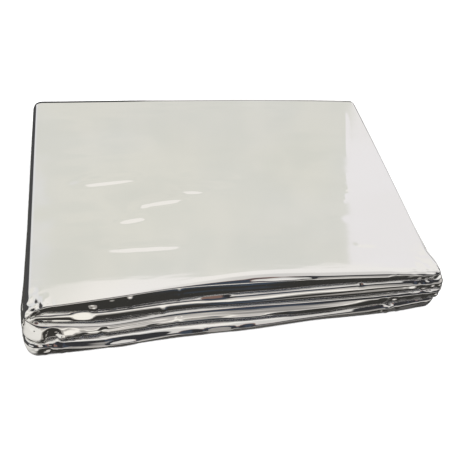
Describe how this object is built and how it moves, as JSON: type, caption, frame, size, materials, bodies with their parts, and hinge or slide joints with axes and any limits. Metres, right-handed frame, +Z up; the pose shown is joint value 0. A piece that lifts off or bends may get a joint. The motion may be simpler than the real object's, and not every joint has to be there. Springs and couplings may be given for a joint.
{
  "type": "folded emergency foil blanket",
  "caption": "Bright metallised film rescue blanket folded back and forth into a flat pocket-size packet, to be unfolded and wrapped round a person to keep warmth in.",
  "frame": {"origin": "middle of the folded packet's box on the surface it lies on", "axes": "+X along the packet's long side, +Y from its closed front folds to its back, +Z up"},
  "size_m": [0.1282, 0.0902, 0.0163],
  "materials": {
    "metallised_film": "bright mirror-like aluminised plastic film with soft creases"
  },
  "bodies": {
    "root": {"foil_blanket": "metallised_film"}
  },
  "joints": []
}
